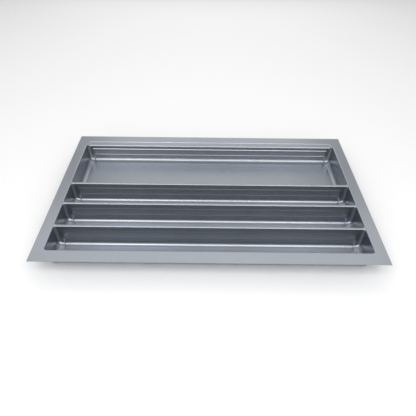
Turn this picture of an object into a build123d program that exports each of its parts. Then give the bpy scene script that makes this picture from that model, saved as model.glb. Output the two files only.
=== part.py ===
from build123d import *
import os
from math import cos, hypot, radians, sin, tan

# Drawer insert for cutlery, drawn from one plastic sheet over a mould.
# X runs along the channels, Y runs from the front to the back, and Z is up.
# The origin is the middle of the outline, on the plane that the pocket floors stand on.

# Whole tray
tray_length = 740.0
tray_width = 490.0
tray_height = 50.0
sheet = 1.5

# Flat flange, from the trimmed outline to the pocket mouths
front_flange = 33.0
rear_flange = 30.0
end_flange = 25.0

# Three equal channels at the front, with the large pocket in what is left behind them
channel_count = 3
channel_width = 73.0
crest_flat = 0.8

# Walls, which lean outwards from the floor to the mouth, and tighten at their upright corners
wall_draft = 5.0
floor_radius = 11.0
mouth_corner_radius = 7.7
rim_radius = 2.8

# Sloped shoulders along the long walls, which keep stacked trays apart
upper_shoulder_depth = 12.5
upper_shoulder_step = 1.2
lower_shoulder_height = 18.5
lower_shoulder_step = 0.6

# Shallow recess under the upper shoulder, short of the corners, with the lower one at its foot
recess_draft = 2.5
recess_end_gap = 12.0

# Shallow ledge, let into the rear flange along the large pocket
ledge_width = 13.5
ledge_drop = 1.5
ledge_slope = 45.0
ledge_end_gap = 4.5
ledge_corner_radius = 5.0

# A floor rounding bites this far into wall and floor, so that it ends on a line across both
rounding_bite = 0.01

# Spare stock on a mould form, above the flange and outside a rounding
overrun = 10.0

pocket_length = tray_length - 2 * end_flange
pocket_depth = tray_height - sheet
wall_angle = radians(wall_draft)
wall_lean = tan(wall_angle)
straight_length = pocket_length - 2 * mouth_corner_radius
front_edge = -tray_width / 2
rear_edge = tray_width / 2

# How far a rounding between a wall and a flat reaches along both, as a share of its radius
reach_share = tan(radians(90 - wall_draft) / 2)

# The crest of a divider is its two rim roundings and the narrow flat between them
divider_crest = 2 * rim_radius * reach_share + crest_flat
channel_pitch = channel_width + divider_crest

# Front and rear mouth line of each pocket
first_channel_front = front_edge + front_flange
large_pocket_front = first_channel_front + channel_count * channel_pitch
large_pocket_rear = rear_edge - rear_flange - ledge_width
channel_fronts = [first_channel_front + place * channel_pitch for place in range(channel_count)]
mouth_lines = [(front, front + channel_width) for front in channel_fronts]
mouth_lines.append((large_pocket_front, large_pocket_rear))


def wall_inset(depth):
    """Inset of a long wall from its mouth line, anywhere below the upper shoulder."""
    return (depth - upper_shoulder_step) * wall_lean + upper_shoulder_step


def wall_bends():
    """Depth below the flange and inset from the mouth line, at each bend down a long wall."""
    shoulder_foot = upper_shoulder_depth + upper_shoulder_step
    return [
        (0, 0),
        (upper_shoulder_depth, upper_shoulder_depth * wall_lean),
        (shoulder_foot, wall_inset(shoulder_foot)),
        (pocket_depth, wall_inset(pocket_depth)),
    ]


def recess_bends():
    """The same for a recess, which runs on into the pocket above and below its own corner."""
    foot_depth = pocket_depth - lower_shoulder_height
    back_depth = foot_depth - lower_shoulder_step
    back_inset = wall_inset(foot_depth) - lower_shoulder_step
    return [
        (0, back_inset - back_depth * tan(radians(recess_draft))),
        (back_depth, back_inset),
        (foot_depth + lower_shoulder_step, wall_inset(foot_depth) + lower_shoulder_step),
    ]


def moved_outwards(bends, growth):
    """The same wall moved square to itself, where a bend moves along the line that halves it."""
    facings = []
    for (depth, inset), (next_depth, next_inset) in zip(bends, bends[1:]):
        run = hypot(next_depth - depth, next_inset - inset)
        facings.append(((next_depth - depth) / run, (next_inset - inset) / run))
    facings.append((0, 1))
    moved = [(0, bends[0][1] - growth / facings[0][0])]
    for (depth, inset), above, below in zip(bends[1:], facings, facings[1:]):
        sharpness = 1 + above[0] * below[0] + above[1] * below[1]
        outwards = growth * (above[0] + below[0]) / sharpness
        downwards = growth * (above[1] + below[1]) / sharpness
        moved.append((depth + downwards, inset - outwards))
    return moved


def pocket_outline(front, rear, depth, inset, growth):
    """The rounded rectangle that a pocket is at one depth."""
    end_inset = depth * wall_lean - growth / cos(wall_angle)
    with BuildSketch(Plane.XY.offset(tray_height - depth)) as outline:
        with Locations((0, (front + rear) / 2)):
            RectangleRounded(
                pocket_length - 2 * end_inset,
                rear - front - 2 * inset,
                mouth_corner_radius - end_inset,
            )
    return outline.sketch


def rounding_bar(middle, outwards, floor_edge, growth):
    """What a rounding takes off a plug, where a wall meets the floor that far from the middle."""
    reach = (floor_radius + growth) * reach_share
    edge = Vector(floor_edge + rounding_bite, sheet - growth - rounding_bite)
    arc_start = edge - Vector(reach, 0)
    arc_end = edge + Vector(reach * sin(wall_angle), reach * cos(wall_angle))
    with BuildPart() as bar:
        with BuildSketch(Plane(middle, x_dir=outwards, z_dir=outwards.cross(Vector(0, 0, 1)))):
            with BuildLine():
                TangentArc(arc_start, arc_end, tangent=(1, 0))
                Polyline(
                    arc_end,
                    arc_end + Vector(overrun, 0),
                    edge + Vector(overrun, -overrun),
                    arc_start - Vector(0, overrun),
                    arc_start,
                )
            make_face()
        extrude(amount=tray_length, both=True)
    return bar.part


def pocket_plug(front, rear, growth):
    """The space inside one pocket, with its skin moved outwards by growth."""
    bends = moved_outwards(wall_bends(), growth)
    mouth, shoulder, foot, floor = [depth for depth, inset in bends]
    outlines = [pocket_outline(front, rear, depth, inset, growth) for depth, inset in bends]
    with BuildPart() as plug:
        extrude(outlines[0], amount=mouth - shoulder, taper=wall_draft)
        loft(outlines[1:3], ruled=True)
        extrude(outlines[2], amount=foot - floor, taper=wall_draft)
        middle = Vector(0, (front + rear) / 2)
        floor_size = outlines[3].bounding_box().size
        for outwards, floor_edge in (
            (Vector(0, -1), floor_size.Y / 2),
            (Vector(0, 1), floor_size.Y / 2),
            (Vector(-1, 0), floor_size.X / 2),
            (Vector(1, 0), floor_size.X / 2),
        ):
            add(rounding_bar(middle, outwards, floor_edge, growth), mode=Mode.SUBTRACT)
    return plug.part


def recess_plug(front, rear, growth):
    """The space in the two recesses that face each other in a pocket."""
    bends = moved_outwards(recess_bends(), growth)
    front_side = [(front + inset, tray_height - depth) for depth, inset in bends]
    rear_side = [(rear - inset, tray_height - depth) for depth, inset in reversed(bends)]
    with BuildPart() as plug:
        with BuildSketch(Plane.YZ):
            with BuildLine():
                Polyline(front_side + rear_side, close=True)
            make_face()
        extrude(amount=straight_length / 2 - recess_end_gap + growth, both=True)
    return plug.part


def ledge_plug(growth):
    """The space above the ledge, with sloped sides, running forward into the large pocket."""
    slope_growth = growth / cos(radians(ledge_slope))
    length = pocket_length - 2 * ledge_end_gap + 2 * slope_growth
    width = 2 * (ledge_width + slope_growth)
    with BuildPart() as plug:
        with BuildSketch(Plane.XY.offset(tray_height)):
            with Locations((0, large_pocket_rear)):
                RectangleRounded(length, width, ledge_corner_radius + slope_growth)
        extrude(amount=-ledge_drop - growth, taper=ledge_slope)
    return plug.part


def ledge_rim(growth):
    """The rounding from the ledge to the rear wall, between the corners of the large pocket."""
    depth = ledge_drop + growth
    reach = (rim_radius - growth) * reach_share
    edge = Vector(large_pocket_rear - depth * wall_lean + growth / cos(wall_angle), tray_height - depth)
    on_ledge = edge + Vector(reach, 0)
    on_wall = edge - Vector(reach * sin(wall_angle), reach * cos(wall_angle))
    with BuildPart() as rim:
        with BuildSketch(Plane.YZ):
            with BuildLine():
                Polyline(on_wall, edge, on_ledge)
                TangentArc(on_ledge, on_wall, tangent=(-1, 0))
            make_face()
        extrude(amount=straight_length / 2, both=True)
    return rim.part


def mould_form(growth):
    """A plate over the flange with a plug in every pocket, its skin moved outwards by growth."""
    plugs = [pocket_plug(front, rear, growth) for front, rear in mouth_lines]
    recesses = [recess_plug(front, rear, growth) for front, rear in mouth_lines]
    ledge = [ledge_plug(growth), ledge_rim(growth)]
    with BuildPart() as form:
        with BuildSketch(Plane.XY.offset(tray_height - growth)):
            Rectangle(tray_length, tray_width)
        extrude(amount=growth + overrun)
        add(plugs)
        plate_underside = form.faces().filter_by(Axis.Z).sort_by(Axis.Z)[-2]
        fillet(plate_underside.inner_wires().edges(), rim_radius - growth)
        add(recesses)
        add(ledge)
    return form.part


# The sheet fills the gap between the form of its underside and the form of its top
top_form = mould_form(0)
underside_form = mould_form(sheet)
with BuildPart() as tray:
    add(underside_form)
    add(top_form, mode=Mode.SUBTRACT)

tray.part.label = "tray"
os.makedirs("parts", exist_ok=True)
export_step(tray.part, "parts/tray.step")
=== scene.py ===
from math import cos, pi, radians, sin, tan
import bpy
from mathutils import Matrix, Vector
from mathutils.geometry import tessellate_polygon


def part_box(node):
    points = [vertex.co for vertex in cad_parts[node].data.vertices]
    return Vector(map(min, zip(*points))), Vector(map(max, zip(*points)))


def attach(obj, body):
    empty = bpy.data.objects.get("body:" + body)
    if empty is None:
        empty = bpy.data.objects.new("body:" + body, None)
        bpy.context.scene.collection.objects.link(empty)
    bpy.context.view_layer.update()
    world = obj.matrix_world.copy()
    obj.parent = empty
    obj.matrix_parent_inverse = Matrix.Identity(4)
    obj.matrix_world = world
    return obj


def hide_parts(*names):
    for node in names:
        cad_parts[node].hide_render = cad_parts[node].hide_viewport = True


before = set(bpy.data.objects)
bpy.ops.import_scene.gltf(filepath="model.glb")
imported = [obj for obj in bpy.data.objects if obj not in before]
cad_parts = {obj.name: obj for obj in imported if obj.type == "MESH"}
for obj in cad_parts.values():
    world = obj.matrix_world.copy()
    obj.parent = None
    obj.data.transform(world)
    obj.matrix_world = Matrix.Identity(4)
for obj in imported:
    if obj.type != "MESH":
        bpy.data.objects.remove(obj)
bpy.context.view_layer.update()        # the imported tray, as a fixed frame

mm = 0.001

# the formed tray, in mm: pockets, walls, shoulders and the ledge in the rear flange
trayShape = {
    "sheet": 1.5,
    "frontFlange": 33.0,
    "rearFlange": 27.6,
    "endFlange": 25.0,
    "channelCount": 3,
    "channelWidth": 73.0,
    "crestFlat": 0.8,
    "wallDraft": 5.0,
    "floorRadius": 11.0,
    "rimRadius": 2.8,
    "mouthCornerRadius": 6.5,  # the upright corners open out from here ...
    "footCornerRadius": 8.0,  # ... to here, where the floor's rounding starts ...
    "floorCornerRadius": 3.0,  # ... and close again to the corner of the flat floor
    "upperShoulderDepth": 12.5,
    "upperShoulderStep": 1.2,
    "channelSoftness": 1.0,  # how far the forming rounds that step in a channel ...
    "largePocketSoftness": 0.5,  # ... and in the large pocket, where it comes out crisper
    "channelLead": 0.5,  # share of the step that the wall takes above it, by leaning more
    "largePocketLead": 0.0,
    "lowerShoulderHeight": 18.5,
    "lowerShoulderStep": 0.6,
    "lowerShoulderSoftness": 0.7,
    "recessDraft": 2.5,
    "shoulderEndGap": 11.0,  # from an end wall to where both shoulders run out
    "shoulderFade": 4.0,
    "ledgeWidth": 15.9,
    "ledgeDrop": 1.5,
    "ledgeSlopeWidth": 1.8,
    "ledgeRimRadius": 5.0,  # the rim below the ledge is rounded more than the others
    "ledgeEndGap": 4.5,
    "ledgeCornerRadius": 5.0,
    "ledgeFadeDepth": 11.4,  # the rear wall takes up the ledge's drop above this depth
    "ledgeApron": 14.6,  # how far the fine rings run out over the rear flange
    "apronFrontShare": 0.02,  # their width towards the divider, as a share
    "trimRounding": 0.25,  # the cut edge, barely broken
    "trimSegments": 2,
    "trimAngle": 60.0,
    "rimSteps": 8,  # this and what follows sets how fine the mesh is
    "upperWallSteps": 4,
    "shoulderSteps": 10,
    "middleWallSteps": 6,
    "lowerWallSteps": 3,
    "floorSteps": 14,
    "cornerSteps": 24,
    "ledgeCornerSteps": 48,
    "apronSteps": 6,
    "cornerGap": 0.2,  # from a corner's rounding to the first step beside it
    "endSteps": 9,  # along a long wall, beside each corner
    "fadeSteps": 6,
}


def smooth(t):
    t = min(max(t, 0.0), 1.0)
    return t * t * (3 - 2 * t)


def traySizes(s):
    low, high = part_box("tray")
    s["length"] = (high.x - low.x) / mm
    s["width"] = (high.y - low.y) / mm
    s["height"] = high.z / mm
    s["depth"] = s["height"] - s["sheet"]
    s["lean"] = tan(radians(s["wallDraft"]))
    s["rimDepth"] = s["rimRadius"] * (1 - sin(radians(s["wallDraft"])))
    s["rimReach"] = s["rimRadius"] * tan(radians(90 - s["wallDraft"]) / 2)
    s["halfPocket"] = s["length"] / 2 - s["endFlange"]
    pitch = s["channelWidth"] + 2 * s["rimReach"] + s["crestFlat"]
    front = s["frontFlange"] - s["width"] / 2
    s["ledgeFront"] = s["width"] / 2 - s["rearFlange"] - s["ledgeWidth"]
    fronts = [front + i * pitch for i in range(s["channelCount"] + 1)]
    s["mouths"] = [(y, y + s["channelWidth"]) for y in fronts[:-1]]
    s["mouths"].append((fronts[-1], s["ledgeFront"]))


# how far the middle of a long wall stands in from its plain slope:
# the step at the upper shoulder, less the recess below it
def wallBulge(s, depth, soft, lead):
    step = s["upperShoulderStep"]
    leaning = (depth - s["rimDepth"]) / (s["upperShoulderDepth"] - soft - s["rimDepth"])
    stepped = smooth((depth - s["upperShoulderDepth"] + soft) / (step + 2 * soft))
    bulge = step * (1 - s["lean"]) * (lead * min(max(leaning, 0.0), 1.0) + (1 - lead) * stepped)
    foot = s["depth"] - s["lowerShoulderHeight"]
    back = foot - s["lowerShoulderStep"]
    start = back - s["lowerShoulderStep"] / (s["lean"] - tan(radians(s["recessDraft"])))
    soft = s["lowerShoulderSoftness"]
    recess = s["lowerShoulderStep"] * min(max((depth - start) / (back - start), 0.0), 1.0)
    ended = smooth((depth - back + soft) / (s["lowerShoulderStep"] + 2 * soft))
    return bulge - recess * (1 - ended)


def spread(first, last, steps):
    return [first + (last - first) * i / steps for i in range(steps + 1)]


# one station is (depth, inset from the mouth line, corner radius, bulge of the long walls)
def wallStations(s, upperSoft, lead):
    turn = radians(90 - s["wallDraft"])
    stations = []
    for i in range(s["rimSteps"] + 1):  # rounding from the flange into the wall
        angle = turn * i / s["rimSteps"]
        inset = s["rimRadius"] * sin(angle) - s["rimReach"]
        depth = s["rimRadius"] * (1 - cos(angle))
        stations.append((depth, inset, s["mouthCornerRadius"] - inset, 0.0))
    upper = s["upperShoulderDepth"]
    depths = spread(stations[-1][0], upper - upperSoft, s["upperWallSteps"])[1:]
    below = upper + s["upperShoulderStep"] + upperSoft
    depths += spread(upper - upperSoft, below, s["shoulderSteps"])[1:]
    foot = s["depth"] - s["lowerShoulderHeight"]
    soft = s["lowerShoulderSoftness"]
    top = foot - s["lowerShoulderStep"] - soft
    depths += spread(depths[-1], top, s["middleWallSteps"])[1:]
    depths += spread(top, foot + soft, s["shoulderSteps"])[1:]
    centreDepth = s["depth"] - s["floorRadius"]
    floorStart = centreDepth + s["floorRadius"] * cos(turn)
    depths += spread(depths[-1], floorStart, s["lowerWallSteps"])[1:]
    opening = (s["footCornerRadius"] - s["mouthCornerRadius"]) / depths[-1]
    for depth in depths:
        radius = s["mouthCornerRadius"] + depth * opening
        bulge = wallBulge(s, depth, upperSoft, lead)
        stations.append((depth, depth * s["lean"], radius, bulge))
    reach = s["floorRadius"] / cos(radians(s["wallDraft"]))
    closing = (s["footCornerRadius"] - s["floorCornerRadius"]) / s["floorSteps"]
    for i in range(1, s["floorSteps"] + 1):  # rounding from the wall into the floor
        angle = turn * (1 - i / s["floorSteps"])
        inset = centreDepth * s["lean"] + reach - s["floorRadius"] * sin(angle)
        depth = centreDepth + s["floorRadius"] * cos(angle)
        stations.append((depth, inset, s["footCornerRadius"] - i * closing, bulge))
    return stations


# a rounded rectangle as points (x, y, facing out in x, in y), anticlockwise from the front left
def pocketRing(s, front, rear, station, rearSteps):
    depth, inset, radius, bulge = station
    halfLength = s["halfPocket"] - inset - radius
    low = front + inset + radius
    high = rear - inset - radius
    besideCorner = halfLength - s["ledgeEndGap"] - s["cornerGap"]
    fadeStart = min(s["halfPocket"] - s["shoulderEndGap"], besideCorner)
    places = spread(halfLength - s["cornerGap"], halfLength - s["ledgeEndGap"], s["endSteps"])
    places += spread(fadeStart, fadeStart - s["shoulderFade"], s["fadeSteps"])
    sides = [(x, bulge * smooth((fadeStart - x) / s["shoulderFade"])) for x in places]
    sides += [(-x, push) for x, push in reversed(sides)]  # from the right end to the left one
    corners = [(-halfLength, low, pi), (halfLength, low, 1.5 * pi)]
    corners += [(halfLength, high, 0.0), (-halfLength, high, 0.5 * pi)]
    points = []
    for i, (x, y, start) in enumerate(corners):
        steps = rearSteps if i > 1 else s["cornerSteps"]
        for angle in spread(start, start + pi / 2, steps):
            points.append((x + radius * cos(angle), y + radius * sin(angle), cos(angle), sin(angle)))
        if i == 0:
            points += [(place, front + inset + push, 0.0, -1.0) for place, push in reversed(sides)]
        if i == 2:
            points += [(place, rear - inset - push, 0.0, 1.0) for place, push in sides]
    return points


# from 0 outside the ledge to 1 on it
def ledgeShare(s, x, y):
    corner = s["ledgeCornerRadius"]
    acrossEnd = abs(x) - (s["halfPocket"] - s["ledgeEndGap"] - corner)
    acrossRear = y - (s["ledgeFront"] + s["ledgeWidth"] - corner)
    outside = Vector((max(acrossEnd, 0.0), max(acrossRear, 0.0))).length
    inside = corner - outside - min(max(acrossEnd, acrossRear), 0.0)
    if y < s["ledgeFront"] - s["footCornerRadius"]:
        return 0.0
    return smooth(inside / s["ledgeSlopeWidth"])


# adds a ring's points; where it lies on the ledge they sink with it, and its rim gets fuller
def addRing(s, verts, points, station, hasLedge):
    depth, inset = station[:2]
    rimDepth = s["rimDepth"]
    growth = s["ledgeRimRadius"] / s["rimRadius"] - 1
    ring = []
    for x, y, _, facing in points:
        drop = 0.0
        if hasLedge:
            share = ledgeShare(s, x, y)
            stay = share * (1 - smooth((depth - rimDepth) / (s["ledgeFadeDepth"] - rimDepth)))
            drop = stay * (s["ledgeDrop"] + growth * min(depth, rimDepth))
            shift = share * inset if depth < rimDepth else stay * rimDepth * s["lean"]
            y -= shift * growth * max(facing, 0.0)
        ring.append(len(verts))
        verts.append(Vector((x, y, s["height"] - depth - drop)) * mm)
    return ring


def joinRings(faces, outer, inner):
    count = len(outer)
    for i in range(count):
        j = (i + 1) % count
        faces.append((outer[i], outer[j], inner[j], inner[i]))


def buildTray(s):
    traySizes(s)
    verts = []
    faces = []
    holes = []
    for front, rear in s["mouths"]:
        hasLedge = rear == s["ledgeFront"]
        kind = "largePocket" if hasLedge else "channel"
        stations = wallStations(s, s[kind + "Softness"], s[kind + "Lead"])
        rearSteps = s["ledgeCornerSteps"] if hasLedge else s["cornerSteps"]
        rings = []
        for station in stations:
            points = pocketRing(s, front, rear, station, rearSteps)
            rings.append(addRing(s, verts, points, station, hasLedge))
        if hasLedge:  # fine rings out over the ledge, which narrow to nothing towards the divider
            mouth = pocketRing(s, front, rear, stations[0], rearSteps)
            slopeStart = s["ledgeWidth"] - s["rimReach"] - s["ledgeSlopeWidth"]
            slopeEnd = s["ledgeWidth"] - s["rimReach"]
            offsets = spread(0.0, slopeStart, s["apronSteps"])[1:]
            offsets += spread(slopeStart, slopeEnd, s["shoulderSteps"])[1:] + [s["ledgeApron"]]
            for offset in offsets:
                points = []
                for x, y, facingX, facingY in mouth:
                    out = offset * (s["apronFrontShare"] if y < (front + rear) / 2 else 1.0)
                    points.append((x + facingX * out, y + facingY * out, facingX, facingY))
                apronInset = stations[0][1] * (1 - smooth(offset / slopeStart))
                rings.insert(0, addRing(s, verts, points, (0.0, apronInset), True))
        for outer, inner in zip(rings, rings[1:]):
            joinRings(faces, outer, inner)
        faces.append(tuple(rings[-1]))
        holes.append(rings[0])
    outline = []
    for x, y in ((-0.5, -0.5), (0.5, -0.5), (0.5, 0.5), (-0.5, 0.5)):
        outline.append(len(verts))
        verts.append(Vector((x * s["length"], y * s["width"], s["height"])) * mm)
    loops = [outline] + holes
    flat = [index for loop in loops for index in loop]
    for triangle in tessellate_polygon([[verts[index] for index in loop] for loop in loops]):
        a, b, c = (flat[corner] for corner in triangle)
        isUp = (verts[b] - verts[a]).cross(verts[c] - verts[a]).z > 0
        faces.append((a, b, c) if isUp else (a, c, b))
    mesh = bpy.data.meshes.new("formedTray")
    mesh.from_pydata(verts, [], faces)
    mesh.validate()
    mesh.shade_smooth()
    tray = bpy.data.objects.new("formedTray", mesh)
    bpy.context.scene.collection.objects.link(tray)
    sheet = tray.modifiers.new("sheet", "SOLIDIFY")  # one thickness everywhere, on the underside
    sheet.thickness = s["sheet"] * mm
    sheet.offset = -1
    sheet.use_even_offset = True
    trim = tray.modifiers.new("trim", "BEVEL")
    trim.width = s["trimRounding"] * mm
    trim.segments = s["trimSegments"]
    trim.limit_method = "ANGLE"
    trim.angle_limit = radians(s["trimAngle"])
    shading = tray.modifiers.new("shading", "WEIGHTED_NORMAL")
    shading.keep_sharp = True
    print("tray:", len(mesh.vertices), "points,", len(mesh.polygons), "faces before its thickness")
    return tray


tray = buildTray(trayShape)
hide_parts("tray")
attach(tray, "root")

# polystyrene sheet with a silver pigment, vacuum formed over a fine-blasted mould
# to the eye: a soft metallic grey, satin, with blurred highlights and a just visible grain
polystyreneFinish = {
    "colour": "#9DA2A9",
    "metallic": 0.97,
    "roughness": 0.30,
    "ior": 1.59,
    "grainSize": 1.6,  # mm; the blasted grain is about 0.3 mm, drawn coarser so that it shows
    "grainHeight": 0.003,  # mm
    "grainDetail": 3.0,
    "grainRoughness": 0.6,
    "cloudSize": 90.0,  # mm; how wide the pigment's slow changes of tone are
    "cloudDetail": 2.0,
    "cloudContrast": 0.05,
}


def linearColour(code):
    channels = [int(code[i:i + 2], 16) / 255 for i in (1, 3, 5)]
    linear = [c / 12.92 if c <= 0.04045 else ((c + 0.055) / 1.055) ** 2.4 for c in channels]
    return (*linear, 1.0)


def addNode(tree, kind, settings=None, links=None):
    node = tree.nodes.new(kind)
    for name, value in (settings or {}).items():
        if hasattr(node, name):
            setattr(node, name, value)
        else:
            node.inputs[name].default_value = value
    for name, source in (links or {}).items():
        tree.links.new(source, node.inputs[name])
    return node


def newMaterial(name):
    material = bpy.data.materials.new(name)
    material.use_nodes = True
    material.node_tree.nodes.clear()
    return material, material.node_tree


def silverPolystyrene(f):
    material, tree = newMaterial("silverPolystyrene")
    place = addNode(tree, "ShaderNodeTexCoord").outputs["Object"]
    grain = addNode(
        tree, "ShaderNodeTexNoise",
        {"Scale": 1 / (f["grainSize"] * mm), "Detail": f["grainDetail"],
         "Roughness": f["grainRoughness"]}, {"Vector": place})
    cloud = addNode(
        tree, "ShaderNodeTexNoise",
        {"Scale": 1 / (f["cloudSize"] * mm), "Detail": f["cloudDetail"]}, {"Vector": place})
    tone = addNode(
        tree, "ShaderNodeMapRange",
        {"To Min": 1 - f["cloudContrast"], "To Max": 1 + f["cloudContrast"]},
        {"Value": cloud.outputs["Fac"]})
    colour = addNode(
        tree, "ShaderNodeMix", {"data_type": "RGBA", "blend_type": "MULTIPLY", "Factor": 1.0})
    colour.inputs[6].default_value = linearColour(f["colour"])  # 6 and 7: its two colours
    tree.links.new(tone.outputs["Result"], colour.inputs[7])
    bump = addNode(
        tree, "ShaderNodeBump", {"Strength": 1.0, "Distance": f["grainHeight"] * mm},
        {"Height": grain.outputs["Fac"]})
    shader = addNode(
        tree, "ShaderNodeBsdfPrincipled",
        {"Metallic": f["metallic"], "Roughness": f["roughness"], "IOR": f["ior"]},
        {"Base Color": colour.outputs[2], "Normal": bump.outputs["Normal"]})
    addNode(tree, "ShaderNodeOutputMaterial", {}, {"Surface": shader.outputs["BSDF"]})
    return material


tray.data.materials.append(silverPolystyrene(polystyreneFinish))
print("material: silver polystyrene")

# a pale table, a white room and softboxes all round, which face the middle of the tray
studio = {
    "floorSize": 12.0,  # m
    "floorColour": "#FCFCFC",
    "roomColour": "#FFFFFF",
    "roomStrength": 0.62,
    "softboxes": {  # place in m, size in m, power in W
        "keyLeft": ((-0.5, -0.9, 1.3), (0.5, 0.6), 4.05),
        "keyMiddle": ((0.0, -0.9, 1.3), (0.5, 0.6), 2.25),
        "keyRight": ((0.5, -0.9, 1.3), (0.5, 0.6), 3.35),
        "overhead": ((0.0, 0.9, 1.3), (2.5, 0.6), 3.75),
        "behind": ((0.0, 1.7, 0.9), (1.4, 0.8), 1.7),
        "behindLow": ((0.0, 1.9, 0.5), (2.0, 0.6), 1.15),
        "frontLeft": ((-1.1, -1.5, 1.0), (0.8, 0.8), 1.65),
        "frontRight": ((1.1, -1.5, 1.0), (0.8, 0.8), 1.65),
        "frontLow": ((0.0, -1.9, 0.6), (2.4, 0.5), 8.0),
    },
}


def buildSoftbox(name, place, size, power):
    light = bpy.data.lights.new(name, "AREA")
    light.shape = "RECTANGLE"
    light.size, light.size_y = size
    light.energy = power
    lamp = bpy.data.objects.new(name, light)
    lamp.location = place
    lamp.rotation_euler = (-lamp.location).to_track_quat("-Z", "Y").to_euler()
    bpy.context.scene.collection.objects.link(lamp)


def buildStudio(s):
    half = s["floorSize"] / 2
    mesh = bpy.data.meshes.new("table")
    corners = [(-half, -half, 0), (half, -half, 0), (half, half, 0), (-half, half, 0)]
    mesh.from_pydata(corners, [], [(0, 1, 2, 3)])
    table = bpy.data.objects.new("table", mesh)
    bpy.context.scene.collection.objects.link(table)
    material, tree = newMaterial("matteTable")
    shader = addNode(tree, "ShaderNodeBsdfDiffuse", {"Color": linearColour(s["floorColour"])})
    addNode(tree, "ShaderNodeOutputMaterial", {}, {"Surface": shader.outputs["BSDF"]})
    mesh.materials.append(material)
    world = bpy.data.worlds.new("whiteRoom")
    world.use_nodes = True
    backdrop = world.node_tree.nodes["Background"]
    backdrop.inputs["Color"].default_value = linearColour(s["roomColour"])
    backdrop.inputs["Strength"].default_value = s["roomStrength"]
    bpy.context.scene.world = world
    for name, (place, size, power) in s["softboxes"].items():
        buildSoftbox(name, place, size, power)


buildStudio(studio)
print("studio: table, room light and", len(studio["softboxes"]), "softboxes")

# the photograph's viewpoint, fitted to the tray's outline, crests and floor roundings
viewpoint = {
    "framePixels": 416,
    "focalPixels": 434.2,
    "sensorWidth": 36.0,  # mm
    "elevation": 39.88,  # degrees
    "turn": 0.17,
    "roll": 0.72,
    "distance": 1.0652,  # m, along the view to the plane of the flange
    "slideRight": -0.0037,
    "slideUp": -0.0461,
}


def buildCamera(v):
    elevation = radians(v["elevation"])
    turn = radians(v["turn"])
    roll = radians(v["roll"])
    forward = Vector((sin(turn) * cos(elevation), cos(turn) * cos(elevation), -sin(elevation)))
    right = Vector((cos(turn), -sin(turn), 0))
    up = right.cross(forward)
    place = Vector((0, 0, trayShape["height"] * mm)) - forward * v["distance"]
    place += right * v["slideRight"] + up * v["slideUp"]
    rolledRight = right * cos(roll) + up * sin(roll)
    rolledUp = up * cos(roll) - right * sin(roll)
    camera = bpy.data.cameras.new("camera")
    camera.sensor_width = v["sensorWidth"]
    camera.lens = v["focalPixels"] / v["framePixels"] * v["sensorWidth"]
    eye = bpy.data.objects.new("camera", camera)
    axes = Matrix((rolledRight, rolledUp, -forward)).transposed().to_4x4()
    eye.matrix_world = Matrix.Translation(place) @ axes
    bpy.context.scene.collection.objects.link(eye)
    bpy.context.scene.camera = eye


buildCamera(viewpoint)
bpy.context.scene.view_settings.view_transform = "Standard"
print("camera: set")

bpy.context.view_layer.update()
